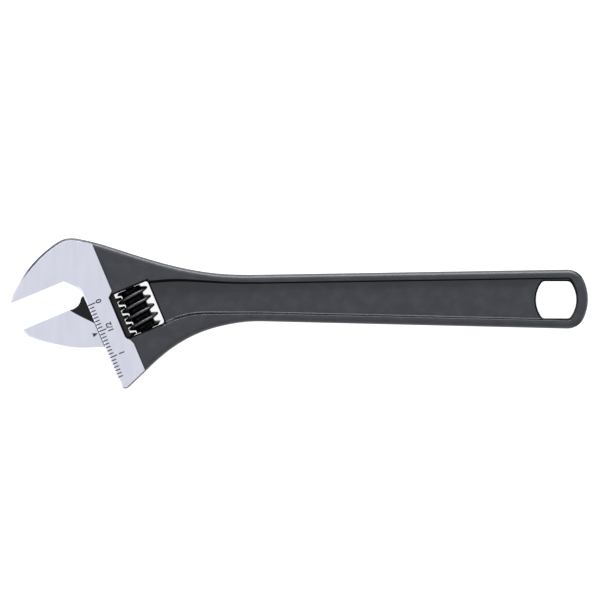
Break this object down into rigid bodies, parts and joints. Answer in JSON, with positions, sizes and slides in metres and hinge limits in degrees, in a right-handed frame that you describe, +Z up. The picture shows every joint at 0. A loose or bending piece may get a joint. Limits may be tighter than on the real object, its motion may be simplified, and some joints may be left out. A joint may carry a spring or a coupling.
{
  "type": "adjustable wrench",
  "caption": "Adjustable wrench with a black forged handle, bright ground jaws, a knurl in a window that slides the lower jaw, and a hang hole.",
  "frame": {"origin": "middle of the bounding box, on the surface the wrench lies on", "axes": "+X along the wrench from the jaws to the hang hole, +Y across it towards the fixed jaw, +Z up through its thickness"},
  "size_m": [0.26, 0.0676, 0.0155],
  "materials": {
    "forged_body": "forged steel, black phosphate, with satin ground head faces",
    "ground_jaw": "satin ground steel, black web and rail",
    "black_knurl": "black oxide, oiled",
    "turned_pin": "turned steel, black oxide",
    "spring_wire": "drawn spring wire"
  },
  "bodies": {
    "body": {"wrench_body": "forged_body", "knurl_pin": "turned_pin", "knurl_spring": "spring_wire"},
    "jaw": {"sliding_jaw": "ground_jaw"},
    "knurl": {"adjusting_knurl": "black_knurl"}
  },
  "joints": [
    {"name": "jaw_slide", "type": "slide", "parent": "body", "child": "jaw", "axis": [0.3907, -0.9205, 0], "range_m": [-0.01305, 0.0219]},
    {"name": "knurl_spin", "type": "hinge", "parent": "body", "child": "knurl", "pos_m": [-0.07245, 0.00201, 0.00775], "axis": [0.3907, -0.9205, 0], "range_deg": [-1878, 1120]}
  ],
  "couplings": [
    {"joint": "knurl_spin", "follows": "jaw_slide", "rad_per_m": -1496}
  ]
}
